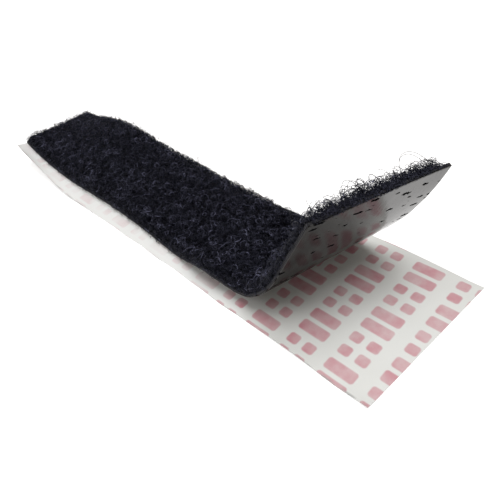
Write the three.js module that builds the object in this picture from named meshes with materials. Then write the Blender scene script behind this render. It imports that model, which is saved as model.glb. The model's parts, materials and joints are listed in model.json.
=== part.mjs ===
import * as THREE from 'three';

// A cut length of self-adhesive loop tape on its release liner. One end of the tape is peeled up.
// Millimetres, +Z up. The strip runs along X with the peeled end at +X, and Y goes to the far edge.
// Flat places are measured from the near corner of the right cut, before the whole is centred.

// The liner
const linerWidth = 29;
const linerThickness = 0.15;
const nearEdgeLength = 118.3;
const leftCutSlant = 7;
const rightCutSlant = 2.3;

// The tape on it, layer by layer
const nearMargin = 2.35;
const tapeWidth = 25;
const adhesiveThickness = 0.15;
const groundThickness = 0.4;
const layerGap = 0.05;
const selvedgeWidth = 1.8;
const pileHeight = 2.1;
const pileLean = 0.35;
const pileShoulderWidth = 1.2;
const pileShoulderDrop = 0.45;

// The peeled end: where the tape leaves the liner, and the stretch that curves
const peelDistance = 36.4;
const peelSlant = 7.7;
const bendLength = 20.9;
const restFoldDegrees = 67.5;
const fullFoldDegrees = 150;
const peelHingeCount = 6;
const hingeGap = 0.15;

// The places where liner and tape bend together
const frontBendDistance = 50;
const frontBendDegrees = 30;
const tailBendDistance = 78;
const tailBendDegrees = 40;

// The near left corner, which keeps some of the curl that the tape had when it was wound
const curlDistance = 81.3;
const curlAxisDegrees = 48.3;
const curlRadius = 46.3;

// How finely the curled corner is divided
const gridStep = 3.6;

const radians = THREE.MathUtils.degToRad;

// Heights above the strip's underside
const adhesiveBase = linerThickness + layerGap;
const groundBase = adhesiveBase + adhesiveThickness + layerGap;
const pileBase = groundBase + groundThickness + layerGap;

// Places across the strip
const farMarginPlace = nearMargin + tapeWidth;
const pileNear = nearMargin + selvedgeWidth;
const pileFar = farMarginPlace - selvedgeWidth;

const materials = {
  liner: new THREE.MeshStandardMaterial({ color: 0xdcded6, roughness: 0.32, metalness: 0 }),
  adhesive: new THREE.MeshStandardMaterial({ color: 0x8f8c88, roughness: 0.22, metalness: 0 }),
  ground: new THREE.MeshStandardMaterial({ color: 0x16161a, roughness: 0.8, metalness: 0 }),
  pile: new THREE.MeshStandardMaterial({ color: 0x0b0b0e, roughness: 0.9, metalness: 0 }),
};

// A straight line across the strip, given by where it crosses the near edge and how far it slants over
// the strip's width. It is the edge of a piece: side is +1 where the piece lies to its right, and -1
// to its left. Above the axis height the edge leans back by the half angle, so that two pieces that
// meet there can fold towards each other.
function edgeLine(nearPlace, slant, side, gap, halfAngle, axisHeight) {
  const slope = slant / linerWidth;
  const stretch = Math.hypot(1, slope);
  return (y, height) => {
    const back = gap + (height - axisHeight) * Math.tan(halfAngle);
    return nearPlace + slope * y + side * back * stretch;
  };
}

function plainEdge(nearPlace, slant) {
  return edgeLine(nearPlace, slant, 1, 0, 0, 0);
}

// The near left corner rolls up about a slanted axis. A point left of that axis goes round a cylinder.
const curlAxisAngle = radians(curlAxisDegrees);
const curlOut = new THREE.Vector2(-Math.cos(curlAxisAngle), -Math.sin(curlAxisAngle));

function curled(x, y, height) {
  const past = (x + curlDistance) * curlOut.x + y * curlOut.y;
  if (past <= 0) {
    return new THREE.Vector3(x, y, height);
  }
  const turn = past / curlRadius;
  const reach = (curlRadius - height) * Math.sin(turn) - past;
  const rise = curlRadius - (curlRadius - height) * Math.cos(turn);
  return new THREE.Vector3(x + reach * curlOut.x, y + reach * curlOut.y, rise);
}

function flat(x, y, height) {
  return new THREE.Vector3(x, y, height);
}

// A closed body between a lower and an upper grid of points, row by row to the right and column by
// column to the far edge.
function solidBetween(lower, upper) {
  const rows = lower.length;
  const columns = lower[0].length;
  const points = [...lower.flat(), ...upper.flat()];
  const under = (row, column) => row * columns + column;
  const over = (row, column) => rows * columns + row * columns + column;
  const index = [];
  const quad = (a, b, c, d) => index.push(a, b, c, a, c, d);
  for (let row = 0; row < rows - 1; row++) {
    for (let column = 0; column < columns - 1; column++) {
      quad(over(row, column), over(row + 1, column), over(row + 1, column + 1), over(row, column + 1));
      quad(under(row, column), under(row, column + 1), under(row + 1, column + 1), under(row + 1, column));
    }
  }
  const far = columns - 1;
  const last = rows - 1;
  for (let row = 0; row < last; row++) {
    quad(under(row, 0), under(row + 1, 0), over(row + 1, 0), over(row, 0));
    quad(under(row + 1, far), under(row, far), over(row, far), over(row + 1, far));
  }
  for (let column = 0; column < far; column++) {
    quad(under(0, column + 1), under(0, column), over(0, column), over(0, column + 1));
    quad(under(last, column), under(last, column + 1), over(last, column + 1), over(last, column));
  }
  const geometry = new THREE.BufferGeometry();
  geometry.setFromPoints(points);
  geometry.setIndex(index);
  geometry.computeVertexNormals();
  return geometry;
}

function gridOf(rowShares, columnShares, pointAt) {
  return rowShares.map((rowShare) => columnShares.map((columnShare) => pointAt(rowShare, columnShare)));
}

// A flat piece needs only its ends, and a curled one is divided along and across.
function sharesOf(place, length) {
  const divide = (size) => {
    const steps = place === flat ? 1 : Math.ceil(size / gridStep);
    return Array.from({ length: steps + 1 }, (_, step) => step / steps);
  };
  return { rows: divide(length), columns: divide(linerWidth) };
}

// A layer of even thickness between two edge lines and two places across the strip.
function layer(from, to, near, far, base, thickness, place, shares) {
  const level = (height) => gridOf(shares.rows, shares.columns, (along, across) => {
    const y = THREE.MathUtils.lerp(near, far, across);
    return place(THREE.MathUtils.lerp(from(y, height), to(y, height), along), y, height);
  });
  return solidBetween(level(base), level(base + thickness));
}

// The pile stands between the selvedges. Its sides lean in, and it is lower at the shoulders, where
// fewer loops hold each other up. The rest of its top is flat: this is the face that the hooks grip.
function pile(from, to, place, rowShares, innerShares) {
  const shoulderFar = pileFar - pileShoulderWidth;
  const shoulderNear = pileNear + pileShoulderWidth;
  const inner = innerShares.map((share) => THREE.MathUtils.lerp(shoulderNear, shoulderFar, share));
  const pileTop = pileBase + pileHeight;
  const lowerPlaces = [pileNear, ...inner, pileFar];
  const upperPlaces = [pileNear + pileLean, ...inner, pileFar - pileLean];
  const heights = [pileTop - pileShoulderDrop, ...inner.map(() => pileTop), pileTop - pileShoulderDrop];
  const pointAt = (along, y, height) =>
    place(THREE.MathUtils.lerp(from(y, height), to(y, height), along), y, height);
  const lower = rowShares.map((along) => lowerPlaces.map((y) => pointAt(along, y, pileBase)));
  const upper = rowShares.map((along) => upperPlaces.map((y, column) => pointAt(along, y, heights[column])));
  return solidBetween(lower, upper);
}

// The three layers of the tape between two edge lines: adhesive, woven ground and loop pile.
function addTape(parent, foot, name, from, to, place, length) {
  const shares = sharesOf(place, length);
  const adhesive = layer(
    from, to, nearMargin, farMarginPlace, adhesiveBase, adhesiveThickness, place, shares);
  const ground = layer(from, to, nearMargin, farMarginPlace, groundBase, groundThickness, place, shares);
  const loops = pile(from, to, place, shares.rows, shares.columns);
  addPiece(parent, foot, `adhesive_${name}`, adhesive, materials.adhesive);
  addPiece(parent, foot, `ground_${name}`, ground, materials.ground);
  addPiece(parent, foot, `pile_${name}`, loops, materials.pile);
}

function addLiner(parent, name, from, to, place, length) {
  const liner = layer(from, to, 0, linerWidth, 0, linerThickness, place, sharesOf(place, length));
  addPiece(parent, origin, `liner_${name}`, liner, materials.liner);
}

function addPiece(parent, foot, name, geometry, material) {
  const mesh = new THREE.Mesh(geometry, material);
  mesh.name = name;
  mesh.position.copy(foot).negate();
  parent.add(mesh);
}

// Where the whole strip can bend: both sides of each line lean back by half of the travel.
function bendEdge(distance, travelDegrees, side) {
  return edgeLine(-distance, 0, side, hingeGap, radians(travelDegrees / 2), 0);
}

// The peel line crosses the tape at a slant, and the hinges of the curved stretch lie parallel to it.
const peelSlantOverLiner = peelSlant * linerWidth / tapeWidth;
const peelAngle = Math.atan2(peelSlant, tapeWidth);
const hingeSpacing = bendLength / peelHingeCount;
const hingeSpacingAlong = hingeSpacing / Math.cos(peelAngle);
const hingeTravel = radians(fullFoldDegrees / peelHingeCount);
const hingeAxis = new THREE.Vector3(-Math.sin(peelAngle), -Math.cos(peelAngle), 0);

function hingePlace(hinge) {
  return -peelDistance + hingeSpacingAlong * (hinge + 1 / 2);
}

function hingeFoot(hinge) {
  return new THREE.Vector3(hingePlace(hinge), nearMargin, adhesiveBase);
}

function peelEdge(hinge, side) {
  const atNearEdge = hingePlace(hinge) - peelSlantOverLiner * nearMargin / linerWidth;
  return edgeLine(atNearEdge, peelSlantOverLiner, side, hingeGap, hingeTravel / 2, adhesiveBase);
}

const strip = new THREE.Group();
const origin = new THREE.Vector3();
const leftCut = plainEdge(-nearEdgeLength, -leftCutSlant);
const rightCut = plainEdge(0, rightCutSlant);

// The tail: liner and tape together, with the curled corner
const tailEnd = bendEdge(tailBendDistance, tailBendDegrees, -1);
const tailLength = nearEdgeLength + leftCutSlant - tailBendDistance;
addLiner(strip, 'tail', leftCut, tailEnd, curled, tailLength);
addTape(strip, origin, 'tail', leftCut, tailEnd, curled, tailLength);

// The middle, which rests on the table
const middleStart = bendEdge(tailBendDistance, tailBendDegrees, 1);
const middleEnd = bendEdge(frontBendDistance, frontBendDegrees, -1);
const middleLength = tailBendDistance - frontBendDistance;
addLiner(strip, 'middle', middleStart, middleEnd, flat, middleLength);
addTape(strip, origin, 'middle', middleStart, middleEnd, flat, middleLength);

// The front: the bare end of the liner, and the tape as far as the peel line
const frontStart = bendEdge(frontBendDistance, frontBendDegrees, 1);
addLiner(strip, 'front', frontStart, rightCut, flat, frontBendDistance);
addTape(strip, origin, 'front', frontStart, peelEdge(0, -1), flat, frontBendDistance);

// The curved stretch, one short length for each hinge, and the flap at the end of it
let carrier = strip;
let carrierFoot = origin;
for (let hinge = 0; hinge < peelHingeCount; hinge++) {
  const foot = hingeFoot(hinge);
  const turned = new THREE.Group();
  turned.name = `peel_hinge_${hinge + 1}`;
  turned.position.subVectors(foot, carrierFoot);
  turned.quaternion.setFromAxisAngle(hingeAxis, radians(restFoldDegrees / peelHingeCount));
  carrier.add(turned);
  const isFlap = hinge === peelHingeCount - 1;
  const name = isFlap ? 'flap' : `bend_${hinge + 1}`;
  const end = isFlap ? rightCut : peelEdge(hinge + 1, -1);
  addTape(turned, foot, name, peelEdge(hinge, 1), end, flat, hingeSpacing);
  carrier = turned;
  carrierFoot = foot;
}

// The frame's origin is under the middle of the whole, on the table
strip.updateMatrixWorld(true);
const middle = new THREE.Box3().setFromObject(strip).getCenter(new THREE.Vector3());
strip.position.set(-middle.x, -middle.y, 0);
const loopTape = new THREE.Group();
loopTape.add(strip);

export default loopTape;
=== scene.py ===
import json
import math
from collections import namedtuple

import bmesh
import bpy
import numpy as np
from mathutils import Matrix, Quaternion, Vector, noise

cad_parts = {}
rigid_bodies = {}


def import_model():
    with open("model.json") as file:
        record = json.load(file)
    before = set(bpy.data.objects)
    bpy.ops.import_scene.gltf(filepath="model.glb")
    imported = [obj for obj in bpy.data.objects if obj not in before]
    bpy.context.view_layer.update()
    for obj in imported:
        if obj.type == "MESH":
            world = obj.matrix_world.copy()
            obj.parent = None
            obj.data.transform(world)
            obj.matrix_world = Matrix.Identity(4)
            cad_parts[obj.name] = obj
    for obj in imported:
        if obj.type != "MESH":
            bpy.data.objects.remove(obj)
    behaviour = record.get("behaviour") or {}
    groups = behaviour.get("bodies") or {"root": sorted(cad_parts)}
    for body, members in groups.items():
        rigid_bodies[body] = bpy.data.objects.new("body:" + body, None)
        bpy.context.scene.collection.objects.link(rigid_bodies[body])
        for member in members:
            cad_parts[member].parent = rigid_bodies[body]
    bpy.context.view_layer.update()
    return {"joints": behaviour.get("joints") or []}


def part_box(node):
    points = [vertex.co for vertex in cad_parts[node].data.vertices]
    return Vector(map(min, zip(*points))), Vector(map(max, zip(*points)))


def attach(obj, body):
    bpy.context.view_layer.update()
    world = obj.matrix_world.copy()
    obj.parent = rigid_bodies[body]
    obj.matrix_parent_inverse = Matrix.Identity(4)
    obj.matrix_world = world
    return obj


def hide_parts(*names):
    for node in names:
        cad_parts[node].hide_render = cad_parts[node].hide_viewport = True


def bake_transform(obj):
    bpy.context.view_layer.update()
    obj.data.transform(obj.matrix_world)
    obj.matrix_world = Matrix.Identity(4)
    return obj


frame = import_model()
mm = 0.001

# Camera
# A small camera held close above the peeled end and rolled a little, so that the strip runs away
# from it towards the upper left.
camera = bpy.data.cameras.new("camera")
camera.sensor_width = 36
camera.lens = 33.34
camera.clip_start = 5 * mm
eye = bpy.data.objects.new("camera", camera)
eye.location = (79.98 * mm, -41.16 * mm, 62.63 * mm)
eye.rotation_mode = "QUATERNION"
looking = Vector((-0.5991, 0.4238, -0.6793))
camera_roll = math.radians(-14.24)
eye.rotation_quaternion = looking.to_track_quat("-Z", "Y") @ Quaternion((0, 0, 1), camera_roll)
bpy.context.scene.collection.objects.link(eye)
bpy.context.scene.camera = eye

# Release liner
# A pale film coated with silicone, a little wider than the tape, that keeps the adhesive clean until
# it is used. Both ends are cut by hand, and the near left corner still curls from the wound reel.
near_edge_length = 118.3 * mm
left_cut_slant = 7 * mm
right_cut_slant = 2.3 * mm
curl_distance = 81.3 * mm
curl_axis = math.radians(48.3)
curl_radius = 46.3 * mm
arch_height = 2.8 * mm
liner_low, liner_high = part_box("liner_middle")
near_edge, far_edge = liner_low.y, liner_high.y
liner_width = far_edge - near_edge
liner_thickness = liner_high.z - liner_low.z
liner_grid = 0.7 * mm
right_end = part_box("liner_front")[1].x - right_cut_slant
left_end = right_end - near_edge_length
joints = {joint["name"]: joint for joint in frame["joints"]}
tail_fold = joints["tail_bend"]["pos_m"][0]
front_fold = joints["front_bend"]["pos_m"][0]
fold_length = 11 * mm
uv_unit = 100 * mm

# The edges stray from straight in waves. Each has a start, a length, a depth and a power of the sine.
near_margin, far_margin = 2.4 * mm, 4 * mm
near_wave = (24 * mm, 65 * mm, 0.4 * mm, 1)
wave_beside_flap = (0, 30 * mm, 0.6 * mm, 1)
wave_beside_peel = (25 * mm, 24 * mm, 1.6 * mm, 2)
waver_depth, waver_length, waver_seed = 0.25 * mm, 7 * mm, 0.5
lift_height, lift_length, lift_seed = 0.7 * mm, 11 * mm, 4.5
stuck_inset, stuck_from, stuck_ease = 1.8 * mm, 24 * mm, 15 * mm
skewed_less, skewed_from, skewed_length = 1.0 * mm, 44 * mm, 80 * mm

# A stretch runs between two edge lines. It rides on one body, or lies between two and is left in place.
Stretch = namedtuple("Stretch", "name start end bodies bend_start bend_end")


def across_at(place):
    """An edge line square to the strip."""
    return lambda y: np.full_like(y, place)


def slanted_from(place, slant):
    """An edge line that slants over the width of the liner, from its place at the near edge."""
    return lambda y: place + slant * (y - near_edge) / liner_width


def wave(place, start, length, depth, power):
    """One smooth wave: 0 at its start and at its end, and its full depth halfway between."""
    return depth * np.sin(math.pi * np.clip((place - start) / length, 0, 1)) ** power


def uneven(places, length, seed):
    """Smooth noise along the strip, with waves of about the given length."""
    return np.array([noise.noise(Vector((place / length, seed, 0))) for place in places])


def curled(x, y, height):
    """Where a point of the strip lies, with its near left corner rolled up and its far side arched."""
    across = np.clip((y - near_edge) / liner_width, 0, 1)
    arch = wave(tail_fold - x, 0, tail_fold - left_end + left_cut_slant, arch_height, 2)
    arch = arch * across ** 2 * (3 - 2 * across)
    out_x, out_y = -math.cos(curl_axis), -math.sin(curl_axis)
    curl_start = right_end - curl_distance
    past = np.maximum(0, (x - curl_start) * out_x + (y - near_edge) * out_y)
    turn = past / curl_radius
    reach = (curl_radius - height) * np.sin(turn) - past
    rise = curl_radius - (curl_radius - height) * np.cos(turn)
    return np.stack((x + reach * out_x, y + reach * out_y, rise + arch), axis=-1)


def film(name, start, end, near, far, base, thickness, place, step, relief=None):
    """A closed sheet: a grid between two edge lines, extruded to its thickness and laid in place."""
    mesh = bmesh.new()
    uv = mesh.loops.layers.uv.new("flat")
    longest = max(float(np.max(end(np.array([near, far])) - start(np.array([near, far])))), step)
    bmesh.ops.create_grid(
        mesh, x_segments=math.ceil(longest / step), y_segments=math.ceil((far - near) / step), size=0.5)
    lower = set(mesh.verts)
    bmesh.ops.extrude_face_region(mesh, geom=mesh.faces[:], use_keep_orig=True)
    mesh.verts.index_update()
    shares = np.array([vertex.co for vertex in mesh.verts]) + 0.5
    y = near + (far - near) * shares[:, 1]
    x = start(y) + (end(y) - start(y)) * shares[:, 0]
    height = np.array([base if vertex in lower else base + thickness for vertex in mesh.verts])
    if relief:
        x, y, height = relief(x, y, height)
    for vertex, point in zip(mesh.verts, place(x, y, height)):
        vertex.co = point
    for face in mesh.faces:
        face.smooth = True
        for corner in face.loops:
            index = corner.vert.index
            corner[uv].uv = ((x[index] - left_end) / uv_unit, (y[index] - near_edge) / uv_unit)
    for edge in mesh.edges:
        sides = [0 < sum(vertex in lower for vertex in face.verts) < 4 for face in edge.link_faces]
        edge.smooth = sides[0] == sides[1]
    bmesh.ops.recalc_face_normals(mesh, faces=mesh.faces)
    return piece_from(name, mesh)


def piece_from(name, mesh):
    """A named piece in the scene, made from a finished mesh."""
    data = bpy.data.meshes.new(name)
    mesh.to_mesh(data)
    mesh.free()
    piece = bpy.data.objects.new(name, data)
    bpy.context.scene.collection.objects.link(piece)
    return piece


def carry(piece, stretch, slot, *nodes):
    """Joins a piece to the body of its stretch if it rides on one, and otherwise keeps it where it lies.
    Hides the CAD nodes it takes the place of.
    """
    if len(stretch.bodies) == 1:
        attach(piece, stretch.bodies[0])
    else:
        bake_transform(piece)
    if nodes:
        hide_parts(*nodes)


def finish_named(name, base_color, roughness):
    """A material with its principled shader, and the colour and roughness that don't vary."""
    material = bpy.data.materials.new(name)
    material.use_nodes = True
    shader = material.node_tree.nodes["Principled BSDF"]
    shader.inputs["Base Color"].default_value = (*base_color, 1)
    shader.inputs["Roughness"].default_value = roughness
    return material, material.node_tree, shader


def node(tree, kind, inputs=(), **settings):
    """Adds a shader node. An input is a value, or an output of another node."""
    made = tree.nodes.new("ShaderNode" + kind)
    for name, value in settings.items():
        setattr(made, name, value)
    for place, value in inputs.items() if isinstance(inputs, dict) else enumerate(inputs):
        if isinstance(value, bpy.types.NodeSocket):
            tree.links.new(value, made.inputs[place])
        else:
            made.inputs[place].default_value = value
    return made


def joined(tree, operation, first, second):
    """Two values made into one by a sum, a product and the like."""
    return node(tree, "Math", [first, second], operation=operation).outputs[0]


def vectors_joined(tree, operation, first, *others):
    """Vectors made into one by a sum, a product and the like."""
    return node(tree, "VectorMath", [first, *others], operation=operation).outputs[0]


def mottled(tree, place, scale, detail):
    """Soft noise between 0 and 1. The larger its scale, the smaller its spots."""
    return node(tree, "TexNoise", {"Vector": place, "Scale": scale, "Detail": detail}).outputs[0]


def between(tree, value, low, high, low_gives, high_gives):
    """Takes a value from one range to another, without going past its ends."""
    return node(tree, "MapRange", [value, low, high, low_gives, high_gives]).outputs[0]


def mixed(tree, share, first, second):
    """A colour between two colours."""
    inputs = {0: share}
    for place, value in ((6, first), (7, second)):
        inputs[place] = value if isinstance(value, bpy.types.NodeSocket) else (*value, 1)
    return node(tree, "Mix", inputs, data_type="RGBA").outputs[2]


def raise_by(tree, shader, height, strength, depth, *layers):
    """Shows a height as fine relief in the surface, and in the layers that lie on it."""
    bump = node(tree, "Bump", {"Strength": strength, "Distance": depth, "Height": height}).outputs[0]
    for layer in ("Normal", *layers):
        tree.links.new(bump, shader.inputs[layer])


def flat_place(tree):
    """The place on the flat strip, in millimetres from its near left corner."""
    uv = node(tree, "UVMap", uv_map="flat").outputs[0]
    scale = uv_unit / mm
    return node(tree, "Mapping", {"Vector": uv, "Scale": (scale, scale, scale)}).outputs[0]


def cell(tree, place, shift, pitch):
    """The place within a repeated cell, measured from the middle of the cell."""
    moved = vectors_joined(tree, "SUBTRACT", place, (*shift, 0))
    half = (pitch[0] / 2, pitch[1] / 2, 1)
    low = (-half[0], -half[1], -1)
    return vectors_joined(tree, "WRAP", moved, half, low)


def rounded_box(tree, point, half_width, half_height):
    """How far ink covers a point: 1 in a rounded box about the middle of its cell, 0 outside it."""
    away = vectors_joined(tree, "ABSOLUTE", point)
    core = (half_width - corner_rounding, half_height - corner_rounding, 0)
    past = vectors_joined(tree, "SUBTRACT", away, core)
    past = vectors_joined(tree, "MAXIMUM", past, (0, 0, 0))
    distance = node(tree, "VectorMath", [past], operation="LENGTH").outputs["Value"]
    inside, outside = corner_rounding - ink_blur, corner_rounding + ink_blur
    inputs = {"Value": distance, "From Min": outside, "From Max": inside}
    return node(tree, "MapRange", inputs, interpolation_type="SMOOTHSTEP").outputs[0]


# The print repeats pairs of bars and clusters of four tiles. Sizes and places are in millimetres.
lattice = (15.6, 12.4)
bars_place, bar_step, bar_size = (2.6, 1.0), 1.45, (2.7, 1.05)
tile_step, tile_size = (1.6, 1.5), (1.05, 0.95)
corner_rounding, ink_blur = 0.5, 0.16
faint_until, full_from = 76.0, 90.0
# Painted light: the film is painted paler on its lifted left end, fading out between these places.
painted_light_until, painted_light_gone_from = 78.0, 98.0
# Painted shadow: a grey line along the near edge of the film, between these distances from it.
edge_shadow_inner, edge_shadow_outer = 0.3, 0.05
ink_color = (0.60, 0.18, 0.24)
# The colour of the painted shadow along the near edge.
edge_shadow_color = (0.36, 0.36, 0.35)
liner_material, tree, shader = finish_named("liner_film", (0.80, 0.815, 0.775), 0.3)
place = flat_place(tree)
split = node(tree, "SeparateXYZ", [place])
along, across = split.outputs[0], split.outputs[1]
motifs = []
for shift_x, shift_y in (bars_place, (bars_place[0] + lattice[0] / 2, bars_place[1] + lattice[1] / 2)):
    for side in (-bar_step, bar_step):
        bar_cell = cell(tree, place, (shift_x, shift_y + side), lattice)
        motifs.append(rounded_box(tree, bar_cell, *bar_size))
    for side_x, side_y in ((-1, -1), (-1, 1), (1, -1), (1, 1)):
        tile_x = shift_x + lattice[0] / 2 + tile_step[0] * side_x
        tile_y = shift_y + tile_step[1] * side_y
        tile_cell = cell(tree, place, (tile_x, tile_y), lattice)
        motifs.append(rounded_box(tree, tile_cell, *tile_size))
ink = motifs[0]
for motif in motifs[1:]:
    ink = joined(tree, "MAXIMUM", ink, motif)
patchy = between(tree, mottled(tree, place, 0.35, 3.0), 0.3, 0.7, 0.45, 0.8)
worn = between(tree, along, faint_until, full_from, 0.3, 1.0)
missed = between(tree, mottled(tree, place, 0.16, 1.0), 0.4, 0.56, 0.1, 1.0)
missed = joined(tree, "MAXIMUM", missed, worn)
for loss in (patchy, worn, missed):
    ink = joined(tree, "MULTIPLY", ink, loss)
cloudy = mottled(tree, place, 0.12, 2.0)
# Painted light: the lifted left end of the film is painted paler than the film lying flat.
past_painted_light = between(tree, along, painted_light_until, painted_light_gone_from, 0.0, 1.0)
painted_light_film = mixed(tree, cloudy, (0.92, 0.94, 0.93), (0.96, 0.975, 0.97))
flat_film = mixed(tree, cloudy, (0.79, 0.805, 0.78), (0.87, 0.885, 0.865))
film_tone = mixed(tree, past_painted_light, painted_light_film, flat_film)
printed = mixed(tree, ink, film_tone, ink_color)
# Painted shadow: a broken grey line along the near edge, where the film's cut edge casts its shadow.
broken = between(tree, mottled(tree, place, 0.25, 2.0), 0.42, 0.58, 0.1, 0.7)
edge_shadow = joined(tree, "MULTIPLY", between(tree, across, edge_shadow_outer, edge_shadow_inner, 1.0, 0.0), broken)
tree.links.new(mixed(tree, edge_shadow, printed, edge_shadow_color), shader.inputs["Base Color"])
raise_by(tree, shader, mottled(tree, place, 0.5, 2.0), 0.15, 0.2 * mm)
shader.inputs["Coat Weight"].default_value = 0.25
shader.inputs["Coat Roughness"].default_value = 0.15

left_cut = slanted_from(left_end, -left_cut_slant)
right_cut = slanted_from(right_end, right_cut_slant)
tail_ease = (Vector((tail_fold, 0, 0)), Vector((tail_fold - fold_length, 0, 0)))
front_ease = (Vector((front_fold, 0, 0)), Vector((front_fold + fold_length, 0, 0)))
tail = Stretch(
    "tail", left_cut, across_at(tail_fold), ("strip_middle", "strip_tail"), *tail_ease)
middle = Stretch("middle", across_at(tail_fold), across_at(front_fold), ("strip_middle",), None, None)
bare_front = Stretch(
    "front", across_at(front_fold), right_cut, ("strip_middle", "strip_front"), *front_ease)


def hand_cut(x, y, height):
    """The near edge wavers and lifts here and there. The far edge keeps close to the stuck tape."""
    near_share = np.clip(1 - (y - near_edge) / near_margin, 0, 1)
    far_share = np.clip(1 - (far_edge - y) / far_margin, 0, 1)
    from_end = right_end - x
    stuck = np.clip((from_end - stuck_from) / stuck_ease, 0, 1)
    skewed = np.clip((from_end - skewed_from) / skewed_length, 0, 1)
    near_in = waver_depth * uneven(x, waver_length, waver_seed) + wave(from_end, *near_wave)
    far_in = stuck * (stuck_inset - skewed_less * skewed)
    far_in = far_in + wave(from_end, *wave_beside_peel) - wave(from_end, *wave_beside_flap)
    lift = lift_height * np.maximum(0, uneven(x, lift_length, lift_seed))
    return x, y + near_share * near_in - far_share * far_in, height + near_share ** 2 * lift


for stretch in (tail, middle, bare_front):
    piece = film(
        f"liner_film_{stretch.name}", stretch.start, stretch.end, near_edge, far_edge, 0,
        liner_thickness, curled, liner_grid, hand_cut)
    piece.data.materials.append(liner_material)
    carry(piece, stretch, "liner", f"liner_{stretch.name}")

# Adhesive
# A thin clear glossy layer of pressure-sensitive adhesive on the back of the tape. It looks grey over
# the black ground, and it has small bare specks where it didn't take.
tape_low, tape_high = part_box("ground_middle")
tape_near, tape_far = tape_low.y, tape_high.y
adhesive_low, adhesive_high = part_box("adhesive_middle")
adhesive_grid = 0.8 * mm
rest_fold = math.radians(67.5)
peel_axis = Vector(joints["peel"]["axis"])
peel_out = Vector((-peel_axis.y, peel_axis.x, 0))
hinge_places = [Vector(joints[name]["pos_m"]) for name in sorted(joints) if name.startswith("peel")]
hinge_count = len(hinge_places)
hinge_spacing = (hinge_places[1] - hinge_places[0]).cross(peel_axis).length
peel_start = hinge_places[0] - peel_out * hinge_spacing / 2
bend_length = hinge_spacing * hinge_count
bend_radius = bend_length / rest_fold
selvedge = 1.7 * mm
cut_inset = 1.4 * mm
tape_cut_slant = right_cut_slant + 3.0 * mm
tape_cut = slanted_from(right_end - cut_inset, tape_cut_slant)

# The tape was laid by hand, so its sides and its height stray in waves too. The first four run from
# the peel line to the left, and the last two from the peel line to the right.
tape_skew = 0.7 / 85
bow_length = 90 * mm
tape_bow = (0, bow_length, 1.1 * mm, 2)
near_narrow = (0, 60 * mm, 0.7 * mm, 1)
far_notch = (-10 * mm, 18 * mm, 1.0 * mm, 2)
far_sway_start, far_sway_length, far_sway = -4 * mm, 84 * mm, 0.55 * mm
flap_bulge = (16 * mm, 20.5 * mm, 0.62 * mm, 2)
near_lift = (-13 * mm, 25 * mm, 2.4 * mm, 2)
drawn_in, drawn_in_ease = 1.5 * mm, 8 * mm
flap_ease = 14 * mm


def peel_line(past):
    """An edge line parallel to the peel line, and so far past it."""
    return lambda y: (
        peel_start.x + (past - (y - peel_start.y) * peel_out.y) / peel_out.x)


def tape_share(y):
    """0 at the near side of the tape, and 1 at its far side."""
    return np.clip((y - tape_near) / (tape_far - tape_near), 0, 1)


def on_tape(x, y, height):
    """Where a point of the tape lies: a little askew, curled at the left, and peeled up at the right."""
    behind = peel_start.x - x
    stuck = np.clip(behind, 0, bow_length)
    far_side = np.clip(1 - (tape_far - y) / selvedge, 0, 1)
    y = y - drawn_in * far_side * np.clip(stuck / drawn_in_ease, 0, 1)
    share = tape_share(y)
    sway = far_sway * np.sin(math.tau * np.clip((stuck - far_sway_start) / far_sway_length, 0, 1))
    y = y + (1 - share) * wave(stuck, *near_narrow) - share * sway - share ** 2 * wave(behind, *far_notch)
    y = y + tape_skew * stuck + wave(stuck, *tape_bow)
    past = (x - peel_start.x) * peel_out.x + (y - peel_start.y) * peel_out.y
    share = tape_share(y)
    height = height - share ** 2 * wave(past, *flap_bulge) + (1 - share) ** 2 * wave(past, *near_lift)
    turn = np.clip(past / bend_radius, 0, rest_fold)
    beyond = np.maximum(0, past - bend_length)
    inner = bend_radius - (height - peel_start.z)
    reach = inner * np.sin(turn) + beyond * math.cos(rest_fold)
    rise = peel_start.z + bend_radius - inner * np.cos(turn) + beyond * math.sin(rest_fold)
    shift = np.where(past > 0, reach - past, 0)
    peeled = np.stack((x + shift * peel_out.x, y + shift * peel_out.y, rise), axis=-1)
    return np.where((past > 0)[..., None], peeled, curled(x, y, height))


def bend_stretch(hinge):
    """The short length of tape about one hinge of the curved stretch."""
    turn = (hinge + 0.5) * rest_fold / hinge_count
    along = peel_out * math.cos(turn) + Vector((0, 0, math.sin(turn)))
    centre = Vector(
        peel_start + peel_out * bend_radius * math.sin(turn)
        + Vector((0, 0, bend_radius * (1 - math.cos(turn)))))
    bodies = ["strip_front"] + [f"bend_{number + 1}" for number in range(hinge_count - 1)] + ["flap"]
    return Stretch(
        f"bend_{hinge + 1}", peel_line(hinge * hinge_spacing), peel_line((hinge + 1) * hinge_spacing),
        (bodies[hinge], bodies[hinge + 1]), centre - along * hinge_spacing / 2,
        centre + along * hinge_spacing / 2)


stuck_front = bare_front._replace(end=peel_line(0))
bends = [bend_stretch(hinge) for hinge in range(hinge_count)]
# The end of the last turn is moved out over the foot of the flap.
last_bend = bends[-1]
last_way = (last_bend.bend_end - last_bend.bend_start).normalized()
bends[-1] = last_bend._replace(bend_end=last_bend.bend_end + last_way * flap_ease)
flap = bends[-1]._replace(name="flap", start=last_bend.end, end=tape_cut)
tape_stretches = [tail, middle, stuck_front, *bends, flap]


def cad_names(layer, stretch):
    """The CAD nodes that a piece of this layer stands for. The last bend shares the flap's node."""
    name = "flap" if stretch.name == f"bend_{hinge_count}" else stretch.name
    return f"{layer}_{name}"


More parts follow.
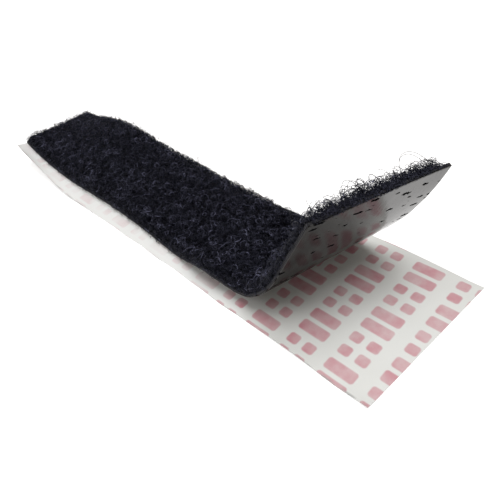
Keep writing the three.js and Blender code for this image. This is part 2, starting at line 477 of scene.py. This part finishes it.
speck_scale, speck_turn = (0.95, 0.3, 1), (0, 0, 0.1)
rim_width, rim_share = 0.35, 0.6
dull_until, glossy_from = 4.0, 18.0
adhesive_material, tree, shader = finish_named("adhesive_layer", (0.03, 0.03, 0.03), 0.6)
place = flat_place(tree)
across = node(tree, "SeparateXYZ", [place]).outputs[1]
ragged = node(tree, "TexNoise", {"Vector": place, "Scale": 2.2, "Detail": 4.0}).outputs["Color"]
pushed = vectors_joined(tree, "SUBTRACT", ragged, (0.5, 0.5, 0.5))
pushed = vectors_joined(tree, "MULTIPLY", pushed, (0.9, 1.3, 0))
pushed = vectors_joined(tree, "ADD", place, pushed)
cells = node(tree, "Mapping", {"Vector": pushed, "Scale": speck_scale, "Rotation": speck_turn}).outputs[0]
speck = node(tree, "TexVoronoi", {"Vector": cells, "Scale": 1.0, "Randomness": 0.85})
speck.voronoi_dimensions = "2D"
chance = node(tree, "SeparateColor", [speck.outputs["Color"]]).outputs[0]
chance = joined(tree, "ADD", chance, mottled(tree, place, 0.2, 1.0))
speck_size = between(tree, chance, 1.1, 1.5, 0.05, 0.33)
speck_edge = joined(tree, "SUBTRACT", speck_size, speck.outputs["Distance"])
bare_specks = between(tree, speck_edge, 0.0, 0.05, 0.0, 1.0)
split = node(tree, "SeparateXYZ", [pushed])
cut_line = joined(tree, "MULTIPLY", split.outputs[1], tape_cut_slant / liner_width)
cut_line = joined(tree, "ADD", cut_line, (near_edge_length - cut_inset) / mm)
cut_gap = joined(tree, "SUBTRACT", cut_line, split.outputs[0])
bare = joined(tree, "MAXIMUM", bare_specks, between(tree, cut_gap, 0.0, rim_width, rim_share, 0.0))
grey_share = between(tree, mottled(tree, place, 0.3, 4.0), 0.35, 0.65, 0.0, 1.0)
grey = mixed(tree, grey_share, (0.010, 0.009, 0.009), (0.030, 0.029, 0.028))
tree.links.new(mixed(tree, bare, grey, (0.004, 0.004, 0.005)), shader.inputs["Base Color"])
gloss = between(tree, across, dull_until, glossy_from, 0.36, 1.0)
gloss = joined(tree, "MULTIPLY", gloss, between(tree, bare, 0.0, 1.0, 1.0, 0.0))
tree.links.new(gloss, shader.inputs["Coat Weight"])
shader.inputs["Specular IOR Level"].default_value = 0
shader.inputs["Coat IOR"].default_value = 1.8
shader.inputs["Coat Roughness"].default_value = 0.1
streaks = node(tree, "Mapping", {"Vector": place, "Scale": (0.5, 2.5, 1)}).outputs[0]
raise_by(tree, shader, mottled(tree, streaks, 1.0, 3.0), 0.14, 0.1 * mm, "Coat Normal")

for stretch in tape_stretches:
    piece = film(
        f"adhesive_layer_{stretch.name}", stretch.start, stretch.end, tape_near, tape_far,
        adhesive_low.z, adhesive_high.z - adhesive_low.z, on_tape, adhesive_grid)
    piece.data.materials.append(adhesive_material)
    carry(piece, stretch, "adhesive", cad_names("adhesive", stretch))

# Woven ground
# A narrow tape woven of black nylon. The loops are anchored in it, but for a plain selvedge along each
# edge, which holds no loops of its own.
ground_grid = 0.6 * mm
ground_material, tree, shader = finish_named("woven_nylon", (0.01, 0.01, 0.012), 0.7)
place = flat_place(tree)
warp = node(tree, "TexWave", {"Vector": place, "Scale": 1.0}, bands_direction="Y").outputs[1]
weft = node(tree, "TexWave", {"Vector": place, "Scale": 0.8}, bands_direction="X").outputs[1]
weave = joined(tree, "MULTIPLY", warp, weft)
raise_by(tree, shader, weave, 0.8, 0.08 * mm)
tree.links.new(mixed(tree, weave, (0.015, 0.015, 0.018), (0.05, 0.05, 0.058)), shader.inputs["Base Color"])
shader.inputs["Specular IOR Level"].default_value = 0.3

for stretch in tape_stretches:
    piece = film(
        f"woven_ground_{stretch.name}", stretch.start, stretch.end, tape_near, tape_far,
        tape_low.z, tape_high.z - tape_low.z, on_tape, ground_grid)
    piece.data.materials.append(ground_material)
    carry(piece, stretch, "ground", cad_names("ground", stretch))

# Loop pile
# Thousands of fine nylon loops stand on the ground. They are brushed, so that they lean and tangle,
# reach over most of the near selvedge, and hang over the cut ends. Hooks catch in them.
pile_low, pile_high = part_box("pile_middle")
pile_base, pile_height = pile_low.z, pile_high.z - pile_low.z
pile_near, pile_far = tape_near + 0.3 * mm, tape_far - selvedge
shoulder_width, shoulder_share = 1.6 * mm, 0.5
root_grid, root_height = 0.45 * mm, 0.5 * pile_height
root_edge, root_edge_share, cut_steepness = 1.3 * mm, 0.03, 1.2
root_lump_size, root_lump_share, root_lump_seed = 0.8 * mm, 0.3, 0
loop_radius, wisp_radius, fine_radius = 0.05 * mm, 0.045 * mm, 0.032 * mm
thinnest, thickness_range, thickness_steps = 0.8, 0.35, 7
section_corners = 3
nylon_material, tree, shader = finish_named("brushed_nylon_loops", (0.013, 0.013, 0.017), 0.3)
shader.inputs["Specular IOR Level"].default_value = 0.25
shader.inputs["Specular Tint"].default_value = (0.72, 0.8, 1, 1)
place = node(tree, "TexCoord").outputs["Object"]
# Painted glints: fine noise brightens short bits of each strand, in place of highlights.
painted_glint = between(tree, mottled(tree, place, 3000.0, 2.0), 0.4, 0.66, 0.25, 1.0)
# The tone attribute lightens each strand: partly at random, and partly as painted light and shade, by height
# in the pile and by tuft.
tone = node(tree, "Attribute", attribute_name="tone").outputs["Fac"]
tone = joined(tree, "MULTIPLY", painted_glint, tone)
tree.links.new(mixed(tree, tone, (0.0016, 0.0016, 0.005), (0.34, 0.35, 0.52)), shader.inputs["Base Color"])
root_material, tree, shader = finish_named("loop_roots", (0.005, 0.005, 0.007), 0.85)
shader.inputs["Specular IOR Level"].default_value = 0.1
fibre = mottled(tree, node(tree, "TexCoord").outputs["Object"], 2500.0, 3.0)
raise_by(tree, shader, fibre, 0.8, 0.1 * mm)
tree.links.new(mixed(tree, fibre, (0.002, 0.002, 0.003), (0.006, 0.006, 0.008)), shader.inputs["Base Color"])


def pile_share(y):
    """The height of the pile at a place across the tape, as a share: it is low along both edges."""
    inside = np.clip(np.minimum(y - pile_near, pile_far - y) / shoulder_width, 0, 1)
    return shoulder_share + (1 - shoulder_share) * np.sin(inside * math.pi / 2)


def noise_at(x, y, size, seed):
    """Smooth noise at each place, with lumps of the given size."""
    return np.array([noise.noise(Vector((a / size, b / size, seed))) for a, b in zip(x, y)])


def matted(x, y, height):
    """The thick of the pile: lumpy on top, and drawn in along its edges and cuts."""
    inside = np.minimum(np.minimum(y - pile_near, pile_far - y), cut_steepness * (tape_cut(y) - x))
    rounded = np.sin(np.clip(inside / root_edge, root_edge_share, 1) * math.pi / 2)
    lumps = 1 + root_lump_share * noise_at(x, y, root_lump_size, root_lump_seed)
    return x, y, pile_base + (height - pile_base) * rounded * lumps


for stretch in tape_stretches:
    piece = film(
        f"loop_roots_{stretch.name}", stretch.start, stretch.end, pile_near, pile_far, pile_base,
        root_height, on_tape, root_grid, matted)
    piece.data.materials.append(root_material)
    carry(piece, stretch, "pile", cad_names("pile", stretch))


def thread_section():
    """The three-sided outline, 1 mm in radius, that is swept along the filaments."""
    section = bpy.data.curves.new("thread_section", "CURVE")
    corners = section.splines.new("POLY")
    corners.points.add(section_corners - 1)
    corners.use_cyclic_u = True
    for number, point in enumerate(corners.points):
        angle = number * math.tau / section_corners
        point.co = (mm * math.cos(angle), mm * math.sin(angle), 0, 1)
    outline = bpy.data.objects.new("thread_section", section)
    bpy.context.scene.collection.objects.link(outline)
    return outline


def filaments(name, *groups):
    """One fine tube for each path. A group is a radius, paths with as many points each, and tones."""
    section = thread_section()
    curve = bpy.data.curves.new(name, "CURVE")
    curve.dimensions = "3D"
    curve.bevel_mode = "OBJECT"
    curve.bevel_object = section
    curve.use_fill_caps = True
    tones = []
    for radius, paths, tone in groups:
        tones.append(np.repeat(np.broadcast_to(tone, paths.shape[:2]).ravel(), section_corners))
        count = paths.shape[1]
        places = np.concatenate((paths, np.ones((len(paths), count, 1))), axis=2).astype(np.float32)
        for number, row in enumerate(places):
            spline = curve.splines.new("POLY")
            spline.points.add(count - 1)
            spline.points.foreach_set("co", row.ravel())
            step = (number % thickness_steps) / (thickness_steps - 1)
            thickness = radius / mm * (thinnest + thickness_range * step)
            spline.points.foreach_set("radius", np.full(count, thickness, np.float32))
    threads = bpy.data.objects.new(name, curve)
    bpy.context.scene.collection.objects.link(threads)
    made = threads.evaluated_get(bpy.context.evaluated_depsgraph_get())
    data = bpy.data.meshes.new_from_object(made)
    bpy.data.objects.remove(threads)
    bpy.data.objects.remove(section)
    data.name = name
    tones = np.concatenate(tones)
    caps = np.zeros(len(data.vertices) - len(tones))
    tones = np.concatenate((caps, tones)).astype(np.float32)
    data.attributes.new("tone", "FLOAT", "POINT").data.foreach_set("value", tones)
    piece = bpy.data.objects.new(name, data)
    piece.data.materials.append(nylon_material)
    bpy.context.scene.collection.objects.link(piece)
    return piece


def feet_between(start, end, pitch, random):
    """Places spread over a stretch, one in each square of the pitch."""
    feet = []
    for y in np.arange(pile_near + pitch / 2, pile_far, pitch):
        low, high = (float(line(np.array([y]))[0]) for line in (start, end))
        feet += [(x, y) for x in np.arange(math.ceil(low / pitch) * pitch, high, pitch)]
    feet = np.array(feet) + random.uniform(-0.5, 0.5, (len(feet), 2)) * pitch
    return feet[:, :1], feet[:, 1:]


def side_share(distance, width):
    """1 at an edge, and 0 from the given width inside it."""
    return np.clip(1 - distance / width, 0, 1)


def across_share(y):
    """0 at the near side of the pile, and 1 at its far side."""
    return np.clip((y - pile_near) / (pile_far - pile_near), 0, 1)


# The upright loops. Their heights are shares of the pile's, and the ends of their arc are half turns.
# Here and below, steps, reaches, leans and spreads of place without a unit are in millimetres.
loop_pitch, arc_points, arc_ends = 0.46 * mm, 8, (-0.3, 1.3)
loop_heights = (0.68, 1.06)
tuft_size, tuft_share, tuft_seed = 1.6 * mm, 0.3, 3
left_thinned, left_thin_width = 0.2, 2 * mm
cut_thinned, far_thinned, cut_thin_width = 0.85, 0.1, 3.5 * mm
usual_reach, reach_spread, widest_reach = 0.4, 0.3, 0.46
tilt_spread, most_tilt = 0.85, 1.4
foot_reach, stalk_reach, stalk_share = 0.12 * mm, 0.2 * mm, 0.5
twist_spread, tallest_share = 0.7, 1.2
side_lean_width, cut_lean_width = 1.8 * mm, 1.6 * mm
left_lean, right_lean, near_lean, far_lean = 0.55, 0.25, 0.1, 0.3
brushed_size, brushed_seeds, brushed_share = 1.5 * mm, (5, 9), 0.9
lean_spread, lean_power, wander_spread = 0.28, 1.4, 0.06
deepest = -0.02 * mm
loop_tone = 0.5


def loop_paths(x, y, random):
    """The path of each loop: up from the ground, round an arc and down again."""
    shape = x.shape
    from_left, from_cut = x - left_cut(y), tape_cut(y) - x
    tufts = 1 + tuft_share * noise_at(x[:, 0], y[:, 0], tuft_size, tuft_seed)[:, None]
    top = pile_height * pile_share(y) * random.uniform(*loop_heights, shape) * tufts
    top = top * (1 - left_thinned * side_share(from_left, left_thin_width))
    thinned = random.uniform(0, cut_thinned, shape) + far_thinned * across_share(y)
    top = top * (1 - thinned * side_share(from_cut, cut_thin_width) ** 0.5)
    reach = random.lognormal(math.log(usual_reach), reach_spread, shape) * mm
    reach = np.minimum(reach, widest_reach * top)
    tilt = np.minimum(np.abs(random.normal(0, tilt_spread, shape)), most_tilt)
    angle = np.linspace(*arc_ends, arc_points)[None, :] * math.pi
    nought, foot, stalk = np.zeros(shape), np.full(shape, foot_reach), np.full(shape, stalk_reach)
    across = np.concatenate((foot, stalk, reach * np.cos(angle), -stalk, -foot), axis=1)
    tipped = reach * (np.sin(angle) - 1) * np.sin(tilt)
    over = np.concatenate((nought, nought, tipped, nought, nought), axis=1)
    up = top - reach * np.cos(tilt) * (1 - np.sin(angle))
    up = np.concatenate((nought, up[:, :1] * stalk_share, up, up[:, -1:] * stalk_share, nought), axis=1)
    share = np.clip(up / pile_height, 0, tallest_share)
    turned = random.uniform(0, math.tau, shape) + random.normal(0, twist_spread, shape) * share
    near_side, far_side = (side_share(gap, side_lean_width) for gap in (y - pile_near, pile_far - y))
    left_side, right_side = (side_share(gap, cut_lean_width) for gap in (from_left, from_cut))
    brushed_x, brushed_y = (noise_at(x[:, 0], y[:, 0], brushed_size, seed) for seed in brushed_seeds)
    brushed_x = brushed_x[:, None] + right_side * right_lean - left_side * left_lean
    brushed_y = brushed_y[:, None] + far_side * far_lean - near_side * near_lean
    lean_x = (random.normal(0, lean_spread, shape) + brushed_x * brushed_share) * mm
    lean_y = (random.normal(0, lean_spread, shape) + brushed_y * brushed_share) * mm
    wander = random.normal(0, wander_spread, (3, len(x), arc_points + 4)) * mm * np.sqrt(share)
    leant = share ** lean_power
    place_x = x + across * np.cos(turned) - over * np.sin(turned) + lean_x * leant + wander[0]
    place_y = y + across * np.sin(turned) + over * np.cos(turned) + lean_y * leant + wander[1]
    # Painted shade: each loop is darker low in the pile and lighter towards its top, over a random tone.
    tone = random.uniform(0, 1, shape) ** 3 * loop_tone * share ** 2
    return on_tape(place_x, place_y, pile_base + np.maximum(up + wander[2], deepest)), tone


# The wisps, long loose filaments in the top of the pile. Their curl is in radians for each step.
wisp_pitch, wisp_points = 0.85 * mm, 14
wisp_curl, wisp_curl_spread, wisp_steps = (0.15, 0.65), 0.25, (0.2, 0.36)
wisp_lead, wisp_side_gap, wisp_cut_gap = 4, 0.5 * mm, 0.4 * mm
wisp_stray, wisp_heights, wisp_wander = (0.5, 1.7), (0.75, 1.12), 0.03
wisp_ends, wisp_tone = (0.05, 0.95), 1.5
light_size, light_seed, usual_light, light_range, least_light = 1.3 * mm, 7, 0.85, 0.55, 0.1


def tufted(x, y):
    """How much light a tuft of the pile catches: some lie open to it, and some in the shade."""
    light = usual_light + light_range * noise_at(x[:, 0], y[:, 0], light_size, light_seed)[:, None]
    return np.clip(light, least_light, 1)


def wisp_paths(x, y, stretch, random):
    """Long curly filaments that lie loosely in the top of the pile, with both ends sunk in it."""
    curl = random.choice((-1, 1), x.shape) * random.uniform(*wisp_curl, x.shape)
    curl = curl + random.normal(0, wisp_curl_spread, (len(x), wisp_points))
    heading = random.uniform(0, math.tau, x.shape) + np.cumsum(curl, axis=1)
    step = random.uniform(*wisp_steps, x.shape) * mm
    lead = wisp_lead * step
    place_x = x + np.cumsum(step * np.cos(heading), axis=1) - lead * np.cos(heading[:, :1])
    place_y = y + np.cumsum(step * np.sin(heading), axis=1) - lead * np.sin(heading[:, :1])
    place_y = np.clip(place_y, pile_near - wisp_side_gap, pile_far + wisp_side_gap)
    strayed = random.uniform(*wisp_stray, x.shape) * mm
    place_x = np.clip(place_x, stretch.start(place_y) - strayed, stretch.end(place_y) + strayed)
    place_x = np.clip(place_x, left_cut(place_y), tape_cut(place_y) + wisp_cut_gap)
    # The ends of each wisp sink into the pile, and there its tone is painted darker as painted shade.
    sunk_and_shaded = np.sin(np.linspace(*wisp_ends, wisp_points) * math.pi)[None, :] ** 0.4
    rise = random.uniform(*wisp_heights, x.shape) + random.normal(0, wisp_wander, (len(x), wisp_points))
    # Painted light and shade: tone fades at the sunk ends and follows the light each tuft would catch, over
    # a random tone.
    tone = random.uniform(0, 1, x.shape) ** 4 * wisp_tone * sunk_and_shaded * tufted(x, y)
    return on_tape(place_x, place_y, pile_base + pile_height * pile_share(place_y) * rise * sunk_and_shaded), tone


# The fine curls, which stand on edge along the sides of the pile.
curl_points, curl_reach = 15, 1.4 * mm
curl_turns, curl_turn_spread, curl_steps, curl_aside = (0.2, 0.6), 0.2, (0.12, 0.25), 0.07
curl_tones, side_curl_tone = (0.05, 0.45), 0.5
curl_floor, curl_left_gap = 0.1 * mm, 0.3 * mm
side_curl_pitch, side_curl_end_gap = 0.3 * mm, 1.2 * mm
side_curl_away, side_curl_rise = (-0.5, 0.6), (0.1, 0.8)
low_curl_away, low_curl_rise = (0.05, 0.2), (-0.35, 0.3)


def curl_paths(x, y, rise, way, random):
    """Fine round curls that stand on edge along a side or a cut of the pile."""
    shape = (len(x), curl_points)
    turning = random.choice((-1, 1), (len(x), 1)) * random.uniform(*curl_turns, (len(x), 1))
    heading = random.uniform(0, math.tau, (len(x), 1))
    heading = heading + np.cumsum(turning + random.normal(0, curl_turn_spread, shape), axis=1)
    step = random.uniform(*curl_steps, (len(x), 1)) * mm
    along = curl_reach * np.tanh(np.cumsum(step * np.cos(heading), axis=1) / curl_reach)
    low = np.minimum(0, rise)[:, None] - curl_floor
    up = low + np.abs(rise[:, None] - low + np.cumsum(step * np.sin(heading), axis=1))
    aside = np.cumsum(random.normal(0, curl_aside, shape), axis=1) * mm
    place_x = x[:, None] + along * way[0] - aside * way[1]
    place_y = y[:, None] + along * way[1] + aside * way[0]
    place_x = np.maximum(place_x, left_cut(place_y) - curl_left_gap)
    return on_tape(place_x, place_y, pile_base + up), random.uniform(*curl_tones, (len(x), 1))


def side_curls(stretch, random):
    """Curls along the far and the near side of the pile, and a low row over the near edge of the tape."""
    places = []
    for side, outward in ((pile_far, 1), (pile_near, -1)):
        start, end = (float(line(np.array([side]))[0]) for line in (stretch.start, stretch.end))
        start = max(start, float(left_cut(np.array(side))) + side_curl_end_gap)
        end = min(end, float(tape_cut(np.array(side))) - side_curl_end_gap)
        count = int((end - start) / side_curl_pitch)
        away = random.uniform(*side_curl_away, count) * mm
        places.append((random.uniform(start, end, count), side + outward * away))
    x, y = np.concatenate(places, axis=1)
    rise = random.uniform(*side_curl_rise, len(x)) * pile_height
    # The near side comes last above, so its start, end and count are those of the low row.
    x = np.concatenate((x, random.uniform(start, end, count)))
    y = np.concatenate((y, tape_near - random.uniform(*low_curl_away, count) * mm))
    rise = np.concatenate((rise, random.uniform(*low_curl_rise, count) * mm))
    paths, tone = curl_paths(x, y, rise, (1, 0), random)
    return paths, tone * side_curl_tone


def cut_up(stretch, cuts):
    """A stretch in lengths, so that no piece has too many loops."""
    return [
        stretch._replace(name=f"{stretch.name}_{number}", start=start, end=end)
        for number, (start, end) in enumerate(zip(cuts, cuts[1:]), start=1)]


tail_cuts = [left_cut, *(across_at(tail_fold - length) for length in (30 * mm, 15 * mm, 0))]
middle_cuts = [across_at(tail_fold + (front_fold - tail_fold) * share) for share in (0, 0.5, 1)]
front_cuts = [across_at(front_fold), across_at(front_fold + 9 * mm), peel_line(0)]
loop_stretches = [
    *cut_up(tail, tail_cuts), *cut_up(middle, middle_cuts), *cut_up(stuck_front, front_cuts), *bends, flap]
for seed, stretch in enumerate(loop_stretches):
    random = np.random.default_rng(seed)
    upright = loop_paths(*feet_between(stretch.start, stretch.end, loop_pitch, random), random)
    loose = wisp_paths(*feet_between(stretch.start, stretch.end, wisp_pitch, random), stretch, random)
    curls = side_curls(stretch, random)
    piece = filaments(
        f"loop_pile_{stretch.name}", (loop_radius, *upright), (wisp_radius, *loose), (fine_radius, *curls))
    carry(piece, stretch, "pile")

# Fringe
# At the cut end of the flap the loops thin out and stand free as fine round curls, thickest at their
# foot, and the lowest of them hang over the cut edge of the ground.
fringe_seed = 102
curl_count, hanging_count = 800, 320
fringe_near_gap = 0.6 * mm
fringe_inset, hanging_out = (-0.9, 0.1), (0.05, 0.2)
hanging_rise = (-0.75, 0.3)
near_top, far_top_less = 0.95, 0.35
fringe_tone = 0.5
random = np.random.default_rng(fringe_seed)
y = random.uniform(pile_near + fringe_near_gap, pile_far, curl_count)
x = tape_cut(y) + random.uniform(*fringe_inset, curl_count) * mm
fringe_top = (near_top - far_top_less * across_share(y)) * pile_height
rise = random.uniform(0, 1, curl_count) ** 1.1 * fringe_top
x[:hanging_count] = tape_cut(y[:hanging_count]) + random.uniform(*hanging_out, hanging_count) * mm
rise[:hanging_count] = random.uniform(*hanging_rise, hanging_count) * mm
way = Vector((float(tape_cut(far_edge) - tape_cut(near_edge)), liner_width)).normalized()
paths, tone = curl_paths(x, y, rise, way, random)
carry(filaments("loop_fringe", (fine_radius, paths, tone * fringe_tone)), flap, "pile")

# Pulled loops
# Single filaments of the pile that hooks have pulled out, standing above the rest at the peeled end.
# Their places across the tape are shares of its width, and their sizes are in millimetres.
pulled_shares = (0.34, 0.355, 0.375, 0.395, 0.43, 0.44, 0.52, 0.79, 0.82)
pulled_spans = (2.4, 3.0, 2.2, 2.8, 1.6, 2.0, 1.8, 4.6, 5.4)
pulled_tops = (3.3, 3.6, 3.2, 3.4, 3.1, 3.3, 3.1, 3.9, 4.4)
pulled_insets = (1.2, 0.6, 1.6, 1.0, 0.5, 1.1, 0.8, 0.6, 0.9)
pulled_radius, pulled_points, pulled_outward = 0.045 * mm, 19, 0.5 * mm
bow = np.linspace(0, math.pi, pulled_points)
paths = []
for share, span, top, inset in zip(pulled_shares, pulled_spans, pulled_tops, pulled_insets):
    y = tape_near + share * (tape_far - tape_near) - span / 2 * mm * np.cos(bow)
    x = tape_cut(y) - inset * mm + pulled_outward * np.sin(bow)
    paths.append(on_tape(x, y, pile_base + top * mm * np.sin(bow) ** 0.8))
carry(filaments("pulled_loops", (pulled_radius, np.array(paths), 0.0)), flap, "pile")

# Sheets
# The liner and the tape were cut flat. The liner lies on the table, the tape lies on the liner, and its
# peeled end is folded back.
def declare_sheet(piece, stretch, near, far, held, rests_on, *others):
    """Works out the lengths of a stretch at the given near and far sides, and does nothing more with them.
    """
    sides = np.array([near, far])
    lengths = stretch.end(sides) - stretch.start(sides)


def pieces_of(*stretches):
    """The names of the other pieces of the tape in these stretches."""
    layers = ("adhesive_layer_", "loop_roots_", "loop_pile_")
    names = [layer + stretch.name for stretch in stretches for layer in layers]
    return [piece.name for piece in bpy.data.objects if piece.name.startswith(tuple(names))]


for stretch in (tail, middle, bare_front):
    declare_sheet(f"liner_film_{stretch.name}", stretch, near_edge, far_edge, "laid", ["table"])
for stretch in (tail, middle, stuck_front):
    declare_sheet(
        f"woven_ground_{stretch.name}", stretch, tape_near, tape_far, "laid",
        [f"liner_film_{stretch.name}"], *pieces_of(stretch))
bend_grounds = [f"woven_ground_{bend.name}" for bend in bends]
declare_sheet(
    "woven_ground_flap", flap, tape_near, tape_far, "folded", ["woven_ground_front"],
    *pieces_of(flap, *bends), *bend_grounds, "loop_fringe", "pulled_loops")

# Table
# A plain white table top. It shows as white to the camera and in gloss, and as pale grey otherwise.
table_drop = 0.02 * mm
table_glow = 0.55
table_mesh = bmesh.new()
bmesh.ops.create_grid(table_mesh, x_segments=1, y_segments=1, size=1)
table = piece_from("table", table_mesh)
table.data.transform(Matrix.Translation((0, 0, -table_drop)))
table_material, tree, shader = finish_named("table_top", (0.8, 0.8, 0.8), 0.6)
shader.inputs["Specular IOR Level"].default_value = 0
path = node(tree, "LightPath")
seen = joined(tree, "MAXIMUM", path.outputs["Is Camera Ray"], path.outputs["Is Glossy Ray"])
seen = joined(tree, "MAXIMUM", seen, path.outputs["Is Transmission Ray"])
shader.inputs["Emission Color"].default_value = (1, 1, 1, 1)
tree.links.new(joined(tree, "MULTIPLY", seen, table_glow), shader.inputs["Emission Strength"])
table.data.materials.append(table_material)

# Lamps
# A large soft box nearly overhead, a weaker one at the near left, and an even room.
def soft_box(name, way, distance, size, energy):
    """A round lamp that shines on the strip from the given side."""
    light = bpy.data.lights.new(name, "AREA")
    light.shape = "DISK"
    light.size = size
    light.energy = energy
    lamp = bpy.data.objects.new(name, light)
    toward = Vector(way).normalized()
    lamp.location = toward * distance
    lamp.rotation_mode = "QUATERNION"
    lamp.rotation_quaternion = (-toward).to_track_quat("-Z", "Y")
    bpy.context.scene.collection.objects.link(lamp)


lamp_distance = 1.5
room_light, white_backdrop = 0.3, 1.0
soft_box("soft_box_above", (0.14, 0.16, 1), lamp_distance, 1.1, 15.2)
soft_box("soft_box_near_left", (-0.75, -0.8, 0.8), lamp_distance, 0.8, 3.6)
world = bpy.data.worlds.new("room")
world.use_nodes = True
bpy.context.scene.world = world
tree = world.node_tree
background = tree.nodes["Background"]
seen = node(tree, "LightPath").outputs["Is Camera Ray"]
tree.links.new(mixed(tree, seen, (1.0, 0.93, 0.87), (1.0, 1.0, 1.0)), background.inputs["Color"])
tree.links.new(between(tree, seen, 0.0, 1.0, room_light, white_backdrop), background.inputs["Strength"])
bpy.context.scene.view_settings.view_transform = "Standard"
